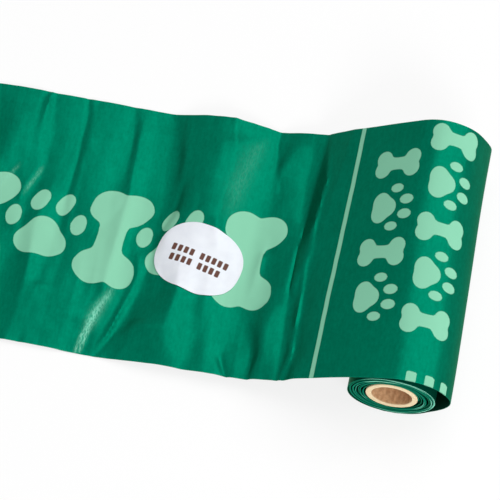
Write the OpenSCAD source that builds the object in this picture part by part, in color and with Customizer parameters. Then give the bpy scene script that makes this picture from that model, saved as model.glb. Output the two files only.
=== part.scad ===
// A part-used roll of plastic bags lying on its side.
// The folded bag film is one long web: it is wound tightly round a cardboard core,
// ends in one loose outer turn, and leaves the top of the roll as a free strip that
// comes down to the table and lies there in low ridges. A small paper sticker is on it.
// The origin is on the core's axis, halfway along the roll. +Y runs along the core,
// the strip goes towards -X, and +Z is up. The near end of the roll is at -Y.

/* [Roll] */
// Width of the folded film, which is also the length of the roll
roll_w = 60; // [45:1:80]
// Number of turns wound tightly on the core
tight_turns = 7; // [3:1:8]
// Thickness of the folded film
film_t = 0.28; // [0.2:0.02:0.32]
// Clear gap between one turn and the next, above and below the core
gap_over = 0.1; // [0.06:0.02:0.3]
// Clear gap between one turn and the next, beside the core, where the soft roll spreads
gap_beside = 0.26; // [0.1:0.02:0.4]
// Width of the flat spot on which the roll rests
flat_w = 3.6; // [2:0.2:4]

/* [Core] */
// Outer diameter of the cardboard core
core_d = 11; // [9:0.5:25]
// Wall thickness of the core
core_wall = 1.2; // [0.8:0.1:2]
// Clear gap between the core and the first turn of film
core_fit = 0.1; // [0.06:0.02:0.3]

/* [Loose outer turn] */
// How far the loose turn stands out beside the roll at the near end
side_bulge_near = 3.1; // [0.5:0.1:4]
// How far the loose turn stands out beside the roll at the far end
side_bulge_far = 1.7; // [0.5:0.1:4]
// How far the loose turn rises over the roll at the near end
top_bulge_near = 0.5; // [0.2:0.1:3]
// How far the loose turn rises over the roll at the far end
top_bulge_far = 2.7; // [0.2:0.1:3]
// Angle past the side of the roll at which the strip leaves it
leave_angle = 115; // [105:1:125]

/* [Free strip] */
// Distance from the core's axis to the torn end of the strip
strip_reach = 106; // [90:1:200]
// Distance from the core's axis to the crease at the foot of the slope
foot_reach = 24.5; // [20:0.5:32]
// Height of that crease above the table at the near edge
foot_h_near = 5.4; // [1:0.1:7]
// Height of that crease above the table at the far edge
foot_h_far = 3.6; // [1:0.1:7]
// Distance from the core's axis to where the run past the foot would meet the table
landing_reach = 38.5; // [34:0.5:50]
// How softly the strip bends at the foot and where it lands
bend_softness = 1; // [0.4:0.1:2]

/* [Ridges of the strip] */
// Ridge beside the foot: distance from the core's axis
foot_ridge_reach = 38; // [34:0.5:44]
// Height of that ridge at the near edge, from where it dies out towards the middle
foot_ridge_h = 2.8; // [0:0.1:4]
// Half width of that ridge
foot_ridge_half = 8; // [5:0.5:12]
// Main ridge, under the sticker: distance from the core's axis at the near edge
main_ridge_near = 50; // [46:0.5:60]
// Distance of the main ridge from the core's axis at the far edge
main_ridge_far = 47; // [44:0.5:60]
// Height of the main ridge at the near edge
main_ridge_h_near = 2.7; // [0:0.1:5]
// Height of the main ridge at the far edge
main_ridge_h_far = 3.9; // [0:0.1:5]
// Half width of the main ridge
main_ridge_half = 13.5; // [10:0.5:16]
// Low folds past the main ridge: distance of the first from the core's axis
fold_reach = 65; // [62:0.5:70]
// Distance from one low fold to the next
fold_pitch = 10.5; // [8:0.5:14]
// Number of low folds
fold_count = 4; // [0:1:5]
// Height of the low folds at the near edge
fold_h_near = 0.9; // [0:0.1:2]
// Height of the low folds at the far edge
fold_h_far = 0.8; // [0:0.1:2]
// Share of its height that each low fold leaves to the next one towards the torn end
fold_fade = 0.6; // [0.3:0.1:1]
// Width of each low fold's steep side, towards the torn end
fold_rise = 3.5; // [2.5:0.5:6]
// Width of each low fold's gentle side, towards the roll
fold_fall = 7; // [2.5:0.5:8]
// Low swell towards the torn end: distance from the core's axis
swell_reach = 75; // [68:0.5:80]
// Height of the low swell at the near edge
swell_h = 1.3; // [0:0.1:3]
// Half width of the low swell
swell_half = 10; // [6:0.5:14]
// How far the torn end lifts off the table at its near corner
end_lift_near = 1.2; // [0:0.1:3]
// How far the torn end lifts off the table at its far corner
end_lift_far = 0.6; // [0:0.1:3]
// Length of strip over which the end lifts
end_lift_len = 14; // [8:1:20]

/* [Sticker] */
// Length of the sticker
sticker_w = 19; // [12:0.5:24]
// Height of the sticker
sticker_h = 15.6; // [10:0.5:20]
// Thickness of the sticker's paper
sticker_t = 0.14; // [0.1:0.02:0.3]
// Distance of its middle from the core's axis
sticker_reach = 46.2; // [44:0.2:56]
// Distance of its middle from the near edge of the film
sticker_in = 25.4; // [15:0.2:30]
// Angle by which it is stuck on askew
sticker_skew = -12; // [-30:1:30]
// Roundness of its outline, from 2 for an ellipse to 4 for nearly a rectangle
sticker_power = 2.4; // [2:0.1:4]
// Glue gap between the sticker and the film
glue_gap = 0.12; // [0.1:0.01:0.2]

/* [Smoothness] */
// Facets round each turn
turn_facets = 36; // [24:4:48]
// Number of spans between sections along the roll
spans = 5; // [3:1:8]
// Length of each facet along the strip
strip_step = 1.5; // [1:0.1:3]
// Facets round the sticker
sticker_facets = 40; // [24:4:60]
// Rings of facets from the sticker's middle to its edge
sticker_rings = 6; // [4:1:8]

/* [Hidden] */
$fn = 96;
full_turn = 360;
right_angle = 90;
cut_over = 1;

core_r = core_d / 2;
bore_r = core_r - core_wall;

// Winding angles, counted from +X at the inner end of the film and rising outwards.
facet_angle = full_turn / turn_facets;
wound_angle = full_turn * tight_turns;
bottom_angle = wound_angle - right_angle;
strip_angle = wound_angle + leave_angle;

// The loose turn swells from below the side of the roll, most of all at the side and on top.
side_angle = 18;
side_rise = 55;
side_fall = 95;
top_angle = 90;
top_half = 70;

// Height of the core's axis over the table, which follows from the turns under it.
bottom_r = core_r + core_fit + film_t / 2 + bottom_angle / full_turn * (film_t + gap_over);
axis_h = bottom_r + film_t / 2;
table_z = -axis_h;
// What a smooth bend leaves over on the flat stretches, taken off so that they lie on the table.
bend_rest = bend_softness / 12;

function mix(a, b, share) = a + (b - a) * share;
function bump(x) = abs(x) < 1 ? pow(cos(right_angle * x), 2) : 0;
function smooth_max(a, b, soft) = (a + b + sqrt(pow(a - b, 2) + soft * soft)) / 2;
function ease(share) = (1 - cos(180 * share)) / 2;

// Gap between turns at a winding angle: narrow over the core, wide beside it.
function turn_gap(angle) = mix(gap_over, gap_beside, (1 + cos(2 * angle)) / 2);

// How far the loose turn stands out at an angle past the side of the roll; far runs 0 to 1.
function bulge(past, far) =
    mix(side_bulge_near, side_bulge_far, ease(far))
        * bump((past - side_angle) / (past < side_angle ? side_rise : side_fall))
    + mix(top_bulge_near, top_bulge_far, ease(far)) * bump((past - top_angle) / top_half);

function turn_r(angle, far) =
    core_r + core_fit + film_t / 2
    + angle / full_turn * (film_t + turn_gap(angle))
    + bulge(angle - wound_angle, far);

// Whether a winding angle is on the flat spot under the outermost turn.
function on_flat(angle) =
    abs(angle - bottom_angle) < right_angle
    && bottom_r * abs(tan(angle - bottom_angle)) <= flat_w / 2 + film_t;

// Point [x, z] on the middle of the wound film.
function turn_point(angle, far) =
    on_flat(angle)
        ? [bottom_r * tan(angle - bottom_angle), -bottom_r]
        : turn_r(angle, far) * [cos(angle), sin(angle)];

// The slope from the roll to the foot is a parabola that starts along the loose turn.
function leave_point(far) = turn_point(strip_angle, far);
function leave_slope(far) =
    let (a = leave_point(far), b = turn_point(strip_angle - facet_angle / 2, far))
    (a[1] - b[1]) / (a[0] - b[0]);
function foot_z(far) = table_z + film_t / 2 + mix(foot_h_near, foot_h_far, ease(far));
function slope_z(x, far) =
    let (
        top = leave_point(far),
        run = top[0] + foot_reach,
        droop = (top[1] - foot_z(far) - leave_slope(far) * run) / (run * run)
    )
    top[1] - leave_slope(far) * (top[0] - x) - droop * pow(top[0] - x, 2);

// Past the foot the strip runs out gently to the table.
function runout_h(x, far) =
    mix(foot_h_near, foot_h_far, ease(far)) * (x + landing_reach) / (landing_reach - foot_reach);

// The low folds lie one behind the other, each steep on one side and gentle on the other.
function low_fold(past) = bump(past / (past < 0 ? fold_rise : fold_fall));
function low_folds(x) =
    fold_count < 1
        ? 0
        : max([for (i = [0 : fold_count - 1])
            low_fold(x + fold_reach + i * fold_pitch) * pow(fold_fade, i)]);

// Heights above the table of the ridges in which the strip lies.
function ridges(x, far) =
    foot_ridge_h * bump((x + foot_ridge_reach) / foot_ridge_half) * (1 - ease(far))
    + mix(main_ridge_h_near, main_ridge_h_far, ease(far))
        * bump((x + mix(main_ridge_near, main_ridge_far, far)) / main_ridge_half)
    + mix(fold_h_near, fold_h_far, ease(far)) * low_folds(x)
    + swell_h * bump((x + swell_reach) / swell_half) * (1 - ease(far))
    + mix(end_lift_near, end_lift_far, ease(far))
        * (1 - cos(right_angle * max(0, end_lift_len - strip_reach - x) / end_lift_len));

// Height of the middle of the strip at x, between the near edge, far = 0, and the far edge.
function lying_z(x, far) =
    table_z + film_t / 2
    + max(0, smooth_max(runout_h(x, far), ridges(x, far), bend_softness) - bend_rest);
function strip_z(x, far) = smooth_max(slope_z(x, far), lying_z(x, far), bend_softness / 2);

// Middle line of the whole web at one section: the turns from the inside out, then the strip.
wound_count = floor(strip_angle / facet_angle);
strip_count = round(strip_reach / strip_step);
function web_path(far) = concat(
    [for (i = [0 : wound_count - 1]) turn_point(i * facet_angle, far)],
    [for (i = [0 : strip_count])
        let (x = mix(leave_point(far)[0], -strip_reach, i / strip_count)) [x, strip_z(x, far)]]
);

// Unit normal of a path at point i, out of the roll and upwards on the strip.
function path_normal(path, i) =
    let (d = path[min(i + 1, len(path) - 1)] - path[max(i - 1, 0)]) [d[1], -d[0]] / norm(d);
function on_table(p) = [p[0], max(p[1], table_z)];

// Ring of points round the web at one section: its outer side, then back along its inner side.
function web_ring(far) =
    let (path = web_path(far), last = len(path) - 1)
    concat(
        [for (i = [0 : last])
            i < wound_count && on_flat(i * facet_angle)
                ? [path[i][0], table_z]
                : on_table(path[i] + path_normal(path, i) * film_t / 2)],
        [for (i = [last : -1 : 0])
            i < wound_count && on_flat(i * facet_angle)
                ? [path[i][0], table_z + film_t]
                : on_table(path[i] - path_normal(path, i) * film_t / 2)]
    );

// Solid skinned over the web's sections, which stand square to the core's axis.
module web_solid() {
    rings = [for (s = [0 : spans]) web_ring(s / spans)];
    count = len(rings[0]);
    points = [for (s = [0 : spans]) for (p = rings[s]) [p[0], mix(-roll_w, roll_w, s / spans) / 2, p[1]]];
    sides = [for (s = [0 : spans - 1]) for (i = [0 : count - 1])
        let (a = s * count + i, b = s * count + (i + 1) % count)
        each [[a, a + count, b + count], [a, b + count, b]]];
    near_end = [for (i = [0 : count / 2 - 2]) [i, i + 1, count - 2 - i, count - 1 - i]];
    far_end = [for (f = near_end) [for (k = [3 : -1 : 0]) f[k] + spans * count]];
    polyhedron(points, concat(sides, near_end, far_end), convexity = 2 * tight_turns + 4);
}

// Height of the top of the film at [x, y], straight between sections as the web is.
function film_top(x, y) =
    let (
        place = (y / roll_w + 1 / 2) * spans,
        s = floor(min(place, spans - 1)),
        z0 = strip_z(x, s / spans),
        z1 = strip_z(x, (s + 1) / spans),
        tilt = (strip_z(x + strip_step / 2, s / spans) - strip_z(x - strip_step / 2, s / spans)) / strip_step
    )
    mix(z0, z1, place - s) + film_t / 2 * sqrt(1 + tilt * tilt);

// Point of the sticker's rounded outline, scaled by share, before it is stuck on.
function rounded(value) = sign(value) * pow(abs(value), 2 / sticker_power);
function outline(angle, share) =
    share / 2 * [sticker_w * rounded(cos(angle)), sticker_h * rounded(sin(angle))];
function stuck_on(p) =
    [p[0] * cos(sticker_skew) - p[1] * sin(sticker_skew) - sticker_reach,
     p[0] * sin(sticker_skew) + p[1] * cos(sticker_skew) + sticker_in - roll_w / 2];

// Thin paper that follows the film under it.
module sticker_solid() {
    flat_points = concat(
        [stuck_on([0, 0])],
        [for (ring = [1 : sticker_rings]) for (i = [0 : sticker_facets - 1])
            stuck_on(outline(i * full_turn / sticker_facets, ring / sticker_rings))]
    );
    count = len(flat_points);
    under = [for (p = flat_points) [p[0], p[1], film_top(p[0], p[1]) + glue_gap]];
    points = concat(under, [for (p = under) p + [0, 0, sticker_t]]);
    n = sticker_facets;
    fan = [for (i = [0 : n - 1]) [0, 1 + i, 1 + (i + 1) % n]];
    bands = [for (ring = [1 : sticker_rings - 1]) for (i = [0 : n - 1])
        let (a = 1 + (ring - 1) * n + i, b = 1 + (ring - 1) * n + (i + 1) % n)
        each [[a, a + n, b + n], [a, b + n, b]]];
    bottom = concat(fan, bands);
    top = [for (f = bottom) [f[2] + count, f[1] + count, f[0] + count]];
    rim_start = 1 + (sticker_rings - 1) * n;
    rim = [for (i = [0 : n - 1])
        let (a = rim_start + i, b = rim_start + (i + 1) % n)
        each [[b, a, a + count], [b, a + count, b + count]]];
    polyhedron(points, concat(bottom, top, rim), convexity = 4);
}

module cardboard_core() {
    color("tan")
        rotate([right_angle, 0, 0])
            difference() {
                cylinder(h = roll_w, r = core_r, center = true);
                cylinder(h = roll_w + 2 * cut_over, r = bore_r, center = true);
            }
}

module bag_film() {
    color("seagreen") web_solid();
}

module sticker() {
    color("white") sticker_solid();
}

cardboard_core();
bag_film();
sticker();
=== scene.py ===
"""A part-used roll of plastic bags on a cardboard core, with a free strip and a paper sticker.

Everything stands in the part's own frame, in metres: the origin is on the core's axis halfway
along the roll, +Y runs along the core, the strip goes towards -X and +Z is up.
"""

import logging
import math
from dataclasses import dataclass, field
from enum import Enum
from functools import partial, reduce
from typing import Any

import bpy
import numpy as np
from mathutils import Matrix, Vector


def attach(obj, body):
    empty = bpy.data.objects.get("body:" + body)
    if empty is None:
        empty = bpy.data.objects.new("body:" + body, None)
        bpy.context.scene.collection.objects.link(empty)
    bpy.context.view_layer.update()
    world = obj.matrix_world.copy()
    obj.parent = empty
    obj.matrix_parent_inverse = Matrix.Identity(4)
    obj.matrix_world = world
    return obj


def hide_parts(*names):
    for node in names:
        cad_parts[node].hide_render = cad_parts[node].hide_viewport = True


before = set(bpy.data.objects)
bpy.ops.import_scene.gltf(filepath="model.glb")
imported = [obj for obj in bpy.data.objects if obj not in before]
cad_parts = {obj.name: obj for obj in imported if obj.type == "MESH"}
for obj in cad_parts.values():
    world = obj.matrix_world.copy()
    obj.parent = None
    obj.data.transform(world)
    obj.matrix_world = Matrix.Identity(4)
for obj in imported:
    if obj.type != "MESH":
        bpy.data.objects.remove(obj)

LOG = logging.getLogger("bag_roll")

MM = 0.001
ROOT = "root"
UV_NAME = "web"
PRINT_ATTRIBUTE = "print_distance"
EDGE_ATTRIBUTE = "edge_light"
SHINE_ATTRIBUTE = "crease_shine"
NO_PRINT = 9.0
# One unit of the UV map stands for 100 mm of flat web.
UV_SCALE = 0.01
# An arc cosine's input stays just inside its range.
ALMOST_ONE = 0.9999
PATCH_SPAN = (0.3, 0.7)

Pair = tuple[float, float]
Triple = tuple[float, float, float]
Four = tuple[float, float, float, float]
Colour = Four
FoldRows = tuple[tuple[tuple[float, ...], ...], ...]
Inputs = dict[str, Any]
Array = np.ndarray
Piece = bpy.types.Object
Material = bpy.types.Material
Tree = bpy.types.NodeTree
Node = bpy.types.Node
Socket = bpy.types.NodeSocket

# Each row is a fold: the x places, the half widths and the heights of its knots, in mm.
FINE_FOLDS = (
    ((-98.2, -96.1, -96.8), (1.2, 1.3, 1.2), (-0.38, -0.38, 0.12)),
    ((-93.4, -93.3, -93.5, -90.9, -92.4), (2.5, 3.1, 1.6, 1.7, 1.6), (0.32, 0.6, 0.22, -0.6, -0.02)),
    ((-88.2, -89.1, -88.1, -88.1, -89.0, -88.9, -89.0), (1.2, 2.7, 1.9, 1.6, 1.6, 1.6, 1.6),
     (0.19, 0.46, 0.22, 0.21, -0.18, -0.07, 0.0)),
    ((-85.9, -83.6, -84.0, -87.4, -85.8, -86.4, -85.6), (1.4, 1.3, 1.5, 1.0, 1.5, 1.3, 1.5),
     (-0.42, -0.17, -0.37, 0.14, 0.02, -0.3, -0.01)),
    ((-82.1, -80.5, -80.8, -82.8, -82.0, -82.4, -83.2), (1.7, 1.9, 2.4, 2.9, 2.0, 3.0, 2.3),
     (0.21, 0.07, 0.27, 0.85, 0.94, 0.48, 0.47)),
    ((-78.4, -78.3, -78.4, -78.3, -77.8, -78.2, -79.0), (1.3, 1.6, 1.6, 1.6, 1.6, 1.8, 1.3),
     (0.16, -0.21, 0.21, -0.55, 0.19, 0.14, 0.11)),
    ((-75.5, -75.7, -75.1, -74.9, -75.7, -76.1, -76.1), (1.5, 1.4, 1.6, 2.9, 2.6, 2.7, 3.0),
     (-0.27, 0.05, -0.26, -0.64, -0.45, -0.32, -0.66)),
    ((-69.6, -71.0, -71.0, -72.0, -70.8, -71.0, -71.9), (1.9, 3.1, 2.0, 1.6, 1.0, 2.2, 0.9),
     (0.17, 0.26, 0.06, -0.01, 0.15, 0.68, 0.06)),
    ((-68.2, -68.7, -68.8, -67.9, -67.5, -68.7, -69.0), (1.5, 1.7, 2.6, 2.8, 2.2, 1.7, 1.9),
     (0.11, -0.02, 0.13, 0.55, 0.77, 0.44, -0.17)),
    ((-65.7, -65.1, -64.2, -64.4, -65.0, -63.4, -64.3), (1.9, 1.7, 1.2, 1.7, 1.7, 1.2, 1.8),
     (-0.3, -0.12, 0.29, 0.99, 0.64, -0.22, -0.25)),
    ((-62.5, -61.0, -60.8, -60.0, -61.1, -61.5, -60.9), (1.9, 2.1, 1.8, 1.6, 1.6, 1.6, 1.7),
     (-0.55, -0.16, -0.38, 0.35, -0.16, -0.01, -0.07)),
    ((-57.5, -58.3, -56.8, -56.7, -55.9, -56.5, -59.4), (1.6, 2.0, 2.1, 1.6, 2.0, 3.1, 1.9),
     (0.23, -0.32, -0.31, -0.38, -0.54, 0.72, 0.29)),
    ((-55.8, -53.9, -53.4, -54.2, -53.0, -54.6, -52.3), (1.7, 1.3, 1.6, 1.7, 2.3, 2.7, 3.6),
     (0.08, 0.59, -0.07, 0.26, -0.7, 0.58, -0.69)),
    ((-49.3, -51.3, -48.7, -50.4, -49.5, -50.5, -47.9), (2.9, 1.5, 1.2, 1.6, 1.4, 3.2, 2.2),
     (-0.41, 0.0, -0.18, -0.06, 0.52, 0.7, -0.31)),
    ((-45.5, -46.4, -45.9, -46.9, -48.0, -48.1, -45.5), (1.5, 2.4, 1.8, 1.6, 2.0, 2.0, 2.0),
     (0.0, 0.23, 0.04, 0.0, 0.32, 0.32, 0.32)),
    ((-45.0, -43.2, -44.0, -43.8, -43.1, -43.2, -42.9), (0.7, 2.1, 1.8, 1.6, 2.2, 1.7, 1.4),
     (0.41, 0.32, 0.21, 0.13, 0.55, -0.16, 0.07)),
    ((-40.9, -41.0, -41.1, -40.1, -39.0, -39.1, -38.9), (1.4, 1.2, 1.9, 1.7, 1.9, 2.5, 2.0),
     (0.23, 0.01, 0.31, 0.14, -0.49, -0.63, -0.31)),
    ((-37.6, -37.6, -37.6, -37.7, -37.1, -36.8, -36.3), (2.4, 3.9, 3.7, 1.5, 2.6, 2.8, 1.0),
     (0.15, 0.49, 0.38, -0.15, -0.53, -0.68, -0.13)),
    ((-32.9, -33.8, -32.5, -33.2, -34.3, -34.3, -33.7), (2.2, 1.8, 2.0, 1.0, 1.8, 1.3, 1.9),
     (-0.5, -0.2, -0.3, 0.42, 0.23, 0.29, 0.6)),
    ((-29.0, -30.1, -29.3, -28.2, -28.5, -29.6, -28.9), (1.6, 1.7, 1.9, 1.6, 2.6, 1.9, 1.6),
     (0.0, -0.05, -0.14, 0.1, 0.54, 0.18, 0.0)),
    ((-26.4, -27.1, -26.3, -26.3, -25.3, -24.8, -24.3), (1.7, 3.0, 2.2, 1.0, 0.9, 1.4, 1.1),
     (-0.21, -0.67, -0.66, 0.05, -0.31, -0.32, -0.11)),
    ((-22.4, -22.5, -22.8, -22.9, -21.5, -21.5, -21.1), (1.6, 1.7, 1.6, 2.2, 1.7, 1.8, 2.3),
     (0.05, 0.47, 0.62, 0.12, -0.3, -0.22, 0.34)),
)
BROAD_SWELLS = (
    ((-102.8, -103.0, -103.0, -103.0), (5.5, 5.5, 5.5, 5.5), (0.17, -0.01, 0.0, 0.0)),
    ((-92.8, -91.9, -92.0, -92.0), (5.4, 5.5, 5.5, 5.5), (0.14, 0.16, -0.14, 0.05)),
    ((-80.8, -81.0, -81.2, -81.4), (5.5, 5.6, 5.5, 5.5), (0.1, 0.24, 0.16, 0.14)),
    ((-70.4, -70.1, -69.1, -71.2), (5.5, 5.6, 5.5, 5.9), (0.02, 0.26, 0.44, -0.78)),
    ((-59.1, -59.1, -59.3, -58.7), (5.5, 5.5, 5.5, 5.8), (-0.17, -0.11, 0.21, -0.22)),
    ((-48.0, -48.9, -48.3, -49.0), (5.5, 6.0, 5.6, 5.5), (-0.28, 0.15, 0.15, 0.01)),
    ((-38.1, -37.0, -37.3, -37.1), (5.2, 5.5, 5.5, 5.8), (0.36, 0.3, -0.08, 0.16)),
)


def bump(share: Array) -> Array:
    """Return a smooth hump that is 1 at 0 and dies out at -1 and 1."""
    return np.where(np.abs(share) < 1, np.cos(np.clip(share, -1, 1) * math.pi / 2) ** 2, 0.0)


def ease(share: Array) -> Array:
    """Return an S-curve from 0 to 1."""
    return (1 - np.cos(np.pi * share)) / 2


def mix(low: Any, high: Any, share: Any) -> Any:
    """Return the value at a share of the way from low to high."""
    return low + (high - low) * share


def smooth_max(a: Array, b: Array, soft: float) -> Array:
    """Return the larger of a and b, rounded off over about soft where they cross."""
    return (a + b + np.sqrt((a - b) ** 2 + soft * soft)) / 2


def smooth_min(a: Array, b: Array, soft: float) -> Array:
    """Return the smaller of a and b, rounded off over about soft where they cross."""
    return -smooth_max(-a, -b, soft)


def smooth_step(low: float, high: float, x: Array) -> Array:
    """Return 0 below low, 1 above high and a smooth rise between them."""
    share = np.clip((x - low) / (high - low), 0.0, 1.0)
    return share * share * (3 - 2 * share)


@dataclass(frozen=True)
class Rumple:
    """Low, irregular unevenness of thin film, as a sum of waves with a fixed seed."""

    seed: int
    height: float
    wave: float
    stretch: float = 1.0
    count: int = 14
    spread: Pair = (0.6, 1.8)

    def at(self, x: Array, y: Array) -> Array:
        """Return the unevenness at points.

        Args:
            x: Places along the web, in mm.
            y: Places across the web, in mm.

        Returns:
            Heights in mm.
        """
        rng = np.random.default_rng(self.seed)
        total = np.zeros(np.broadcast(x, y).shape)
        for _ in range(self.count):
            way = rng.uniform(0, math.pi)
            rate = 2 * math.pi / (self.wave * rng.uniform(*self.spread))
            phase = rng.uniform(0, 2 * math.pi)
            total = total + np.sin(rate * (np.cos(way) * x + np.sin(way) * y / self.stretch) + phase)
        return total * self.height / math.sqrt(self.count)


@dataclass(frozen=True)
class Knot:
    """A place on a fold: where it is, how wide its flanks are there and how high it stands, in mm."""

    x: float
    y: float
    half: float
    height: float


@dataclass(frozen=True)
class Fold:
    """A fold that runs across the strip from the far edge towards the near one.

    A height above 0 is a ridge and one below 0 is a valley; lean widens the left flank.
    """

    knots: tuple[Knot, ...]
    lean: float = 0.0
    crest: float = 1.5

    def at(self, x: Array, y: Array) -> Array:
        """Return the fold's height at points, in mm.

        Args:
            x: Places along the part, in mm.
            y: Places along the core's axis, in mm.

        Returns:
            Heights in mm.
        """
        knots = self.knots[::-1]
        places = [k.y for k in knots]
        line = np.interp(y, places, [k.x for k in knots])
        half = np.interp(y, places, [k.half for k in knots])
        high = np.interp(y, places, [k.height for k in knots])
        inside = (y >= places[0]) & (y <= places[-1])
        off = x - line
        half = half * np.where(off < 0, 1 + self.lean, 1 - self.lean)
        return inside * high * np.exp(-np.abs(off / half) ** self.crest)


class Motif(Enum):
    """The plain shapes that are printed on the film."""

    BONE = "bone"
    PAW = "paw"
    BAR = "bar"


def disc(u: Array, v: Array, cu: float, cv: float, radius: float) -> Array:
    """Return the signed distance to a disc."""
    return np.hypot(u - cu, v - cv) - radius


def oval(u: Array, v: Array, cu: float, cv: float, ru: float, rv: float) -> Array:
    """Return about the signed distance to an oval."""
    scaled = np.hypot((u - cu) / ru, (v - cv) / rv)
    return (scaled - 1) * min(ru, rv)


def bar(u: Array, v: Array, half_u: float, half_v: float, corner: float) -> Array:
    """Return the signed distance to a bar with rounded corners, centred at 0.

    Args:
        u: Places along the shape's first axis, in mm.
        v: Places along its second axis, in mm.
        half_u: Half the bar's size along u.
        half_v: Half its size along v.
        corner: The radius of its corners.

    Returns:
        Distances in mm, below 0 inside.
    """
    du = np.abs(u) - half_u + corner
    dv = np.abs(v) - half_v + corner
    outside = np.hypot(np.maximum(du, 0), np.maximum(dv, 0))
    return outside + np.minimum(np.maximum(du, dv), 0) - corner


def bone(u: Array, v: Array, size: float) -> Array:
    """Return the signed distance to a bone that stands along v, size long.

    Args:
        u: Places along the shape's first axis, in mm.
        v: Places along its second axis, in mm.
        size: The bone's length, in mm.

    Returns:
        Distances in mm, below 0 inside.
    """
    knob, apart, reach = 0.17 * size, 0.135 * size, 0.34 * size
    shape = bar(u, v, 0.125 * size, reach, 0.05 * size)
    for end in (-1, 1):
        for side in (-1, 1):
            shape = smooth_min(shape, disc(u, v, side * apart, end * reach, knob), 0.05 * size)
    return shape


def paw(u: Array, v: Array, size: float) -> Array:
    """Return the signed distance to a paw print, size across.

    Args:
        u: Places along the shape's first axis, in mm.
        v: Places along its second axis, in mm.
        size: The paw's width, in mm.

    Returns:
        Distances in mm, below 0 inside.
    """
    pad = smooth_min(
        oval(u, v, -0.13 * size, -0.22 * size, 0.2 * size, 0.17 * size),
        oval(u, v, 0.13 * size, -0.22 * size, 0.2 * size, 0.17 * size),
        0.06 * size,
    )
    pad = smooth_min(pad, disc(u, v, 0, -0.06 * size, 0.19 * size), 0.08 * size)
    toes = (
        (-0.43, 0.1, 0.1, 0.145),
        (-0.165, 0.36, 0.11, 0.155),
        (0.165, 0.36, 0.11, 0.155),
        (0.43, 0.1, 0.1, 0.145),
    )
    for cu, cv, ru, rv in toes:
        pad = np.minimum(pad, oval(u, v, cu * size, cv * size, ru * size, rv * size))
    return pad


@dataclass(frozen=True)
class PrintMark:
    """One printed shape: its place on the flat web, its size and how far it is turned.

    u runs along the web from where the strip leaves the roll, positive onto the roll, and y is
    measured from the middle of the web, both in mm.
    """

    motif: Motif
    u: float
    y: float
    size: float
    turn: float = 0.0
    width: float = 1.2
    corner: float = 0.16

    def distance(self, u: Array, y: Array) -> Array:
        """Return the signed distance in mm from points on the web to the shape's outline.

        Args:
            u: Places along the web, in mm.
            y: Places across the web, in mm.

        Returns:
            Distances in mm, below 0 inside.
        """
        angle = math.radians(self.turn)
        du, dy = u - self.u, y - self.y
        a = du * math.cos(angle) + dy * math.sin(angle)
        b = -du * math.sin(angle) + dy * math.cos(angle)
        if self.motif is Motif.BONE:
            return bone(a, b, self.size)
        if self.motif is Motif.PAW:
            return paw(a, b, self.size)
        corner = min(self.width, self.size) * self.corner
        return bar(a, b, self.width / 2, self.size / 2, corner)


class Graph:
    """Short calls that add nodes to one node tree and link them."""

    def __init__(self, tree: Tree) -> None:
        """Keep the tree that is being built."""
        self.tree = tree

    def feed(self, socket: Socket, value: Any) -> None:
        """Link a socket to another, or set its plain value.

        Args:
            socket: The socket that is fed.
            value: Another socket or a plain value.
        """
        if isinstance(value, Socket):
            self.tree.links.new(value, socket)
        else:
            socket.default_value = value

    def fill(self, node: Node, values: Inputs) -> None:
        """Feed a node's inputs by their names."""
        for name, value in values.items():
            self.feed(node.inputs[name], value)

    def add(self, kind: str, inputs: Inputs | None = None, **settings: Any) -> Node:
        """Add a node of a kind, set its properties and feed its inputs.

        Args:
            kind: The node's type.
            inputs: A socket or a plain value for inputs by name.
            **settings: The node's own properties.

        Returns:
            The node.
        """
        node = self.tree.nodes.new(kind)
        for name, value in settings.items():
            setattr(node, name, value)
        self.fill(node, inputs or {})
        return node

    def row(self, kind: str, *values: Any, **settings: Any) -> Socket:
        """Add a node, feed its inputs in their order and return its first output.

        Args:
            kind: The node's type.
            *values: A socket or a plain value for each input in turn.
            **settings: The node's own properties.

        Returns:
            The node's first output.
        """
        node = self.add(kind, **settings)
        for socket, value in zip(node.inputs, values):
            self.feed(socket, value)
        return node.outputs[0]

    def combine(self, x: Any, y: Any, z: Any) -> Socket:
        """Return a vector made of three values."""
        return self.row("ShaderNodeCombineXYZ", x, y, z)

    def math(self, operation: str, *values: Any) -> Socket:
        """Add a math node and return its result."""
        return self.row("ShaderNodeMath", *values, operation=operation)

    def times(self, *values: Any) -> Socket:
        """Return the product of two or more values."""
        return reduce(partial(self.math, "MULTIPLY"), values)

    def plus(self, first: Any, second: Any) -> Socket:
        """Return the sum of two values."""
        return self.math("ADD", first, second)

    def noise(self, vector: Any, scale: Any, detail: float = 2.0, rough: float = 0.5) -> Socket:
        """Return a noise value from 0 to 1 at a vector."""
        inputs = {"Vector": vector, "Scale": scale, "Detail": detail, "Roughness": rough}
        return self.add("ShaderNodeTexNoise", inputs).outputs["Fac"]

    def drawn_noise(self, vector: Any, scale: Triple, detail: float = 2.0, rough: float = 0.5) -> Socket:
        """Return a noise value from 0 to 1 with its own scale along each axis."""
        mapped = self.add("ShaderNodeMapping", {"Vector": vector, "Scale": scale})
        return self.noise(mapped.outputs["Vector"], 1.0, detail, rough)

    def span(self, value: Any, low: float, high: float, to_low: float = 0.0, to_high: float = 1.0) -> Socket:
        """Return a value carried from one span to another, held inside it."""
        return self.row("ShaderNodeMapRange", value, low, high, to_low, to_high, clamp=True)

    def blend(self, share: Any, low: Any, high: Any) -> Socket:
        """Return a colour mixed from low and high."""
        inputs = {"Factor": share, "A": low, "B": high}
        return self.add("ShaderNodeMix", inputs, data_type="RGBA", clamp_factor=True).outputs["Result"]

    def attribute(self, name: str) -> Socket:
        """Return the value of a piece's own attribute."""
        return self.add("ShaderNodeAttribute", attribute_name=name).outputs["Fac"]


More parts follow.
